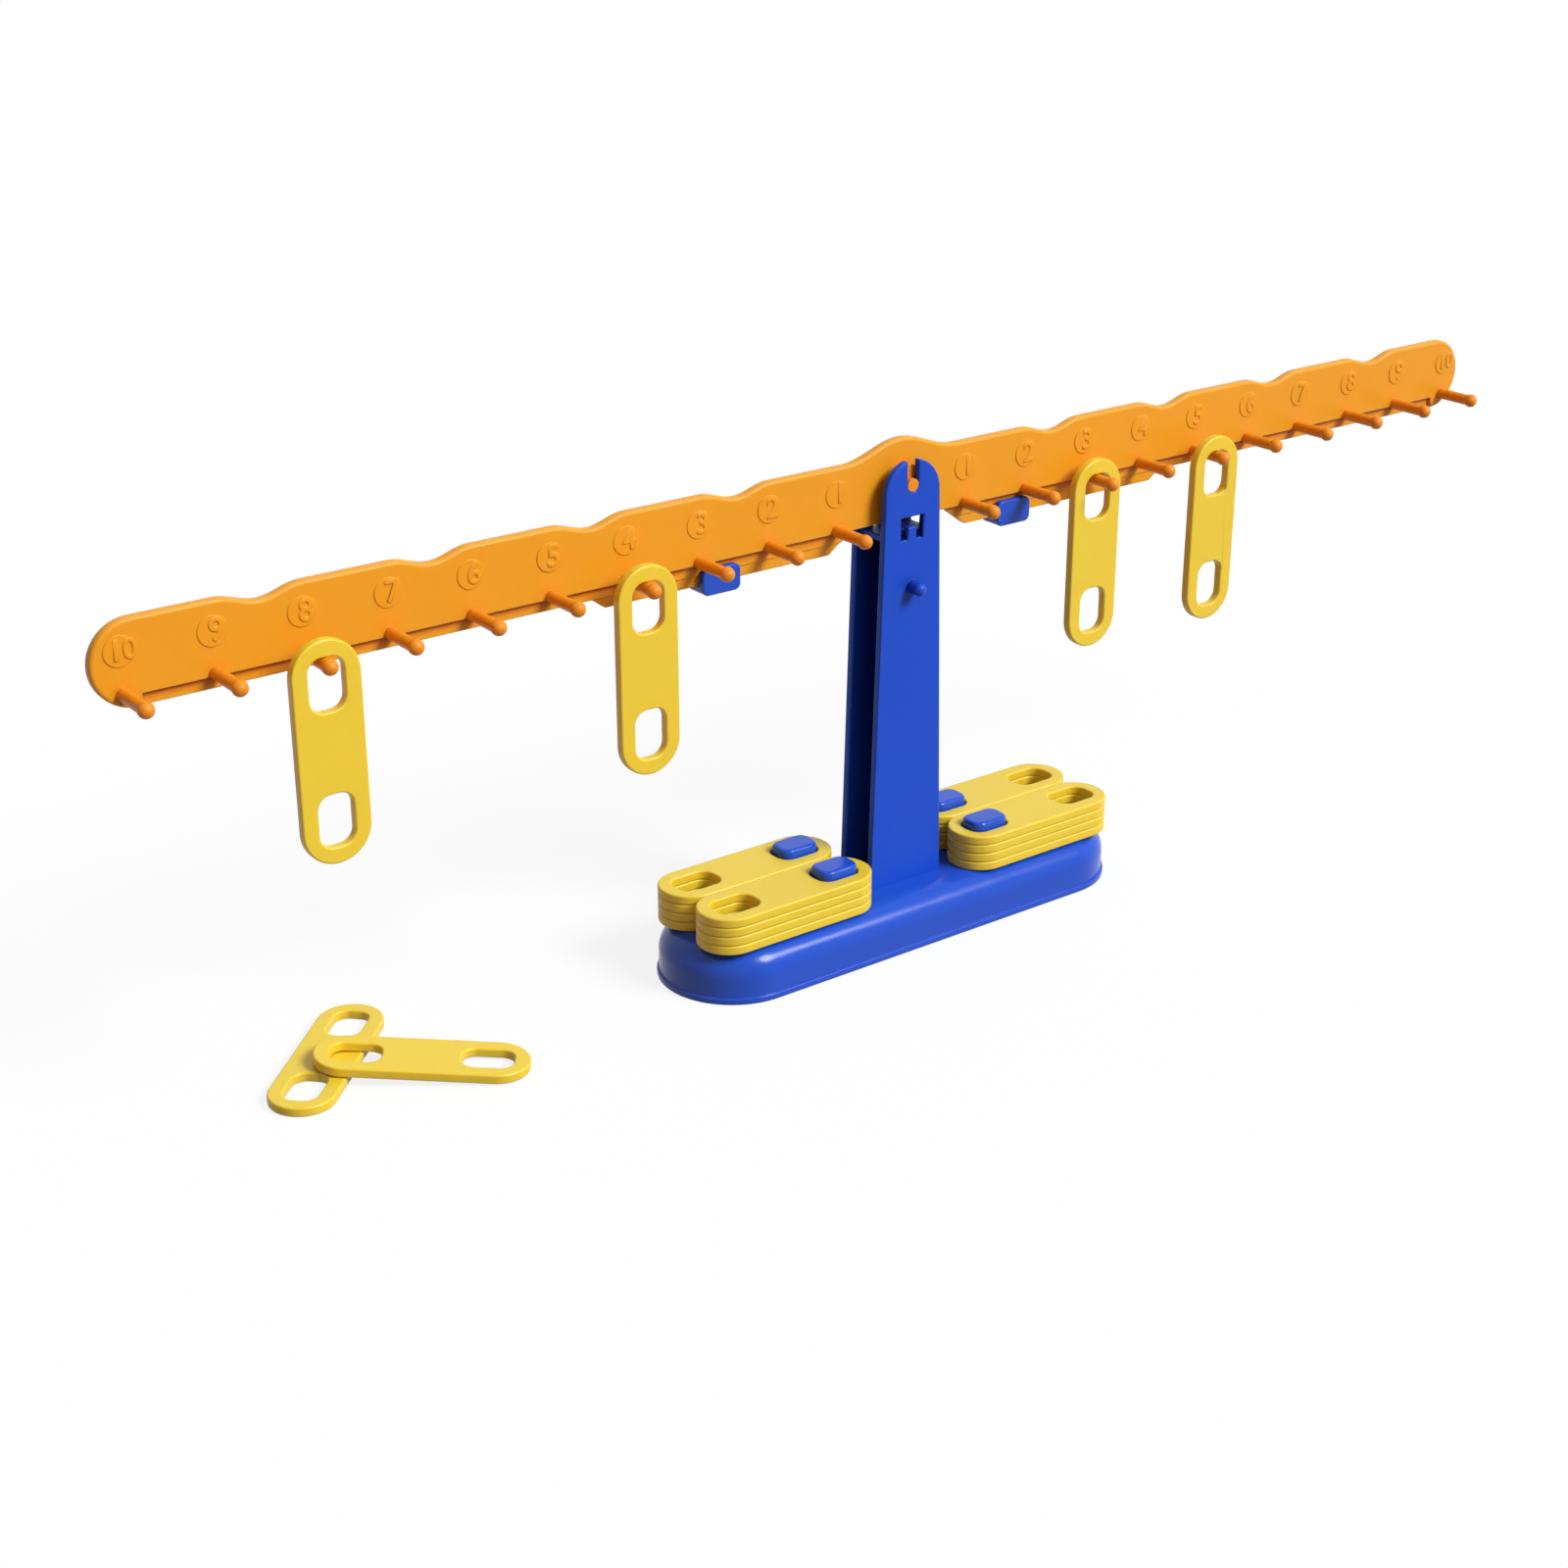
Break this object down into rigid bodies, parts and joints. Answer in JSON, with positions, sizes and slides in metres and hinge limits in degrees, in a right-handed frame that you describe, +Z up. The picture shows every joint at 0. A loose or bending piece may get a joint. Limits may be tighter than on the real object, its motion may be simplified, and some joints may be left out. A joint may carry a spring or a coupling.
{
  "type": "number balance",
  "caption": "Plastic number balance: a scalloped beam with numbered pegs rocks on a column over a base with posts that store slotted hanging tags.",
  "frame": {"origin": "centre of the base's underside, on the table, below the pivot", "axes": "+X along the beam towards the right arm, -Y out of the numbered front, +Z up"},
  "size_m": [0.619, 0.0863, 0.1923],
  "materials": {
    "blue_plastic": "satin moulded",
    "orange_plastic": "satin moulded",
    "yellow_plastic": "satin moulded"
  },
  "bodies": {
    "stand": {"base": "blue_plastic", "column": "blue_plastic"},
    "beam": {"beam": "orange_plastic"},
    "slider_left": {"slider_left": "blue_plastic"},
    "slider_right": {"slider_right": "blue_plastic"},
    "hung_left_8": {"hung_left_8": "yellow_plastic"},
    "hung_left_4": {"hung_left_4": "yellow_plastic"},
    "hung_right_3": {"hung_right_3": "yellow_plastic"},
    "hung_right_5": {"hung_right_5": "yellow_plastic"},
    "stack_left_front_1": {"stack_left_front_1": "yellow_plastic"},
    "stack_left_front_2": {"stack_left_front_2": "yellow_plastic"},
    "stack_left_front_3": {"stack_left_front_3": "yellow_plastic"},
    "stack_left_front_4": {"stack_left_front_4": "yellow_plastic"},
    "stack_left_rear_1": {"stack_left_rear_1": "yellow_plastic"},
    "stack_left_rear_2": {"stack_left_rear_2": "yellow_plastic"},
    "stack_left_rear_3": {"stack_left_rear_3": "yellow_plastic"},
    "stack_left_rear_4": {"stack_left_rear_4": "yellow_plastic"},
    "stack_right_front_1": {"stack_right_front_1": "yellow_plastic"},
    "stack_right_front_2": {"stack_right_front_2": "yellow_plastic"},
    "stack_right_front_3": {"stack_right_front_3": "yellow_plastic"},
    "stack_right_front_4": {"stack_right_front_4": "yellow_plastic"},
    "stack_right_rear_1": {"stack_right_rear_1": "yellow_plastic"},
    "stack_right_rear_2": {"stack_right_rear_2": "yellow_plastic"},
    "stack_right_rear_3": {"stack_right_rear_3": "yellow_plastic"},
    "stack_right_rear_4": {"stack_right_rear_4": "yellow_plastic"},
    "loose_lower": {"loose_lower": "yellow_plastic"},
    "loose_upper": {"loose_upper": "yellow_plastic"}
  },
  "joints": [
    {"name": "beam_tilt", "type": "hinge", "parent": "stand", "child": "beam", "pos_m": [0, 0, 0.1762], "axis": [0, 1, 0], "range_deg": [-6, 6]},
    {"name": "slider_left_slide", "type": "slide", "parent": "beam", "child": "slider_left", "axis": [1, 0, 0], "range_m": [-0.036, 0.0381]},
    {"name": "slider_right_slide", "type": "slide", "parent": "beam", "child": "slider_right", "axis": [1, 0, 0], "range_m": [-0.01, 0.0641]},
    {"name": "hung_left_8_swing", "type": "hinge", "parent": "beam", "child": "hung_left_8", "pos_m": [-0.24, -0.015, 0.163], "axis": [0, 1, 0], "range_deg": [-20, 20]},
    {"name": "hung_left_4_swing", "type": "hinge", "parent": "beam", "child": "hung_left_4", "pos_m": [-0.12, -0.0142, 0.163], "axis": [0, 1, 0], "range_deg": [-20, 20]},
    {"name": "hung_right_3_swing", "type": "hinge", "parent": "beam", "child": "hung_right_3", "pos_m": [0.09, -0.0102, 0.163], "axis": [0, 1, 0], "range_deg": [-20, 20]},
    {"name": "hung_right_5_swing", "type": "hinge", "parent": "beam", "child": "hung_right_5", "pos_m": [0.15, -0.0146, 0.163], "axis": [0, 1, 0], "range_deg": [-20, 20]},
    {"name": "stack_left_front_1_lift", "type": "slide", "parent": "stand", "child": "stack_left_front_1", "axis": [0, 0, 1], "range_m": [0, 0.018]},
    {"name": "stack_left_front_2_lift", "type": "slide", "parent": "stack_left_front_1", "child": "stack_left_front_2", "axis": [0, 0, 1], "range_m": [0, 0.0144]},
    {"name": "stack_left_front_3_lift", "type": "slide", "parent": "stack_left_front_2", "child": "stack_left_front_3", "axis": [0, 0, 1], "range_m": [0, 0.0108]},
    {"name": "stack_left_front_4_lift", "type": "slide", "parent": "stack_left_front_3", "child": "stack_left_front_4", "axis": [0, 0, 1], "range_m": [0, 0.0072]},
    {"name": "stack_left_rear_1_lift", "type": "slide", "parent": "stand", "child": "stack_left_rear_1", "axis": [0, 0, 1], "range_m": [0, 0.018]},
    {"name": "stack_left_rear_2_lift", "type": "slide", "parent": "stack_left_rear_1", "child": "stack_left_rear_2", "axis": [0, 0, 1], "range_m": [0, 0.0144]},
    {"name": "stack_left_rear_3_lift", "type": "slide", "parent": "stack_left_rear_2", "child": "stack_left_rear_3", "axis": [0, 0, 1], "range_m": [0, 0.0108]},
    {"name": "stack_left_rear_4_lift", "type": "slide", "parent": "stack_left_rear_3", "child": "stack_left_rear_4", "axis": [0, 0, 1], "range_m": [0, 0.0072]},
    {"name": "stack_right_front_1_lift", "type": "slide", "parent": "stand", "child": "stack_right_front_1", "axis": [0, 0, 1], "range_m": [0, 0.018]},
    {"name": "stack_right_front_2_lift", "type": "slide", "parent": "stack_right_front_1", "child": "stack_right_front_2", "axis": [0, 0, 1], "range_m": [0, 0.0144]},
    {"name": "stack_right_front_3_lift", "type": "slide", "parent": "stack_right_front_2", "child": "stack_right_front_3", "axis": [0, 0, 1], "range_m": [0, 0.0108]},
    {"name": "stack_right_front_4_lift", "type": "slide", "parent": "stack_right_front_3", "child": "stack_right_front_4", "axis": [0, 0, 1], "range_m": [0, 0.0072]},
    {"name": "stack_right_rear_1_lift", "type": "slide", "parent": "stand", "child": "stack_right_rear_1", "axis": [0, 0, 1], "range_m": [0, 0.018]},
    {"name": "stack_right_rear_2_lift", "type": "slide", "parent": "stack_right_rear_1", "child": "stack_right_rear_2", "axis": [0, 0, 1], "range_m": [0, 0.0144]},
    {"name": "stack_right_rear_3_lift", "type": "slide", "parent": "stack_right_rear_2", "child": "stack_right_rear_3", "axis": [0, 0, 1], "range_m": [0, 0.0108]},
    {"name": "stack_right_rear_4_lift", "type": "slide", "parent": "stack_right_rear_3", "child": "stack_right_rear_4", "axis": [0, 0, 1], "range_m": [0, 0.0072]},
    {"name": "loose_lower_lift", "type": "slide", "parent": "stand", "child": "loose_lower", "axis": [0, 0, 1], "range_m": [0, 0.02]},
    {"name": "loose_upper_lift", "type": "slide", "parent": "loose_lower", "child": "loose_upper", "axis": [0, 0, 1], "range_m": [0, 0.03]}
  ]
}
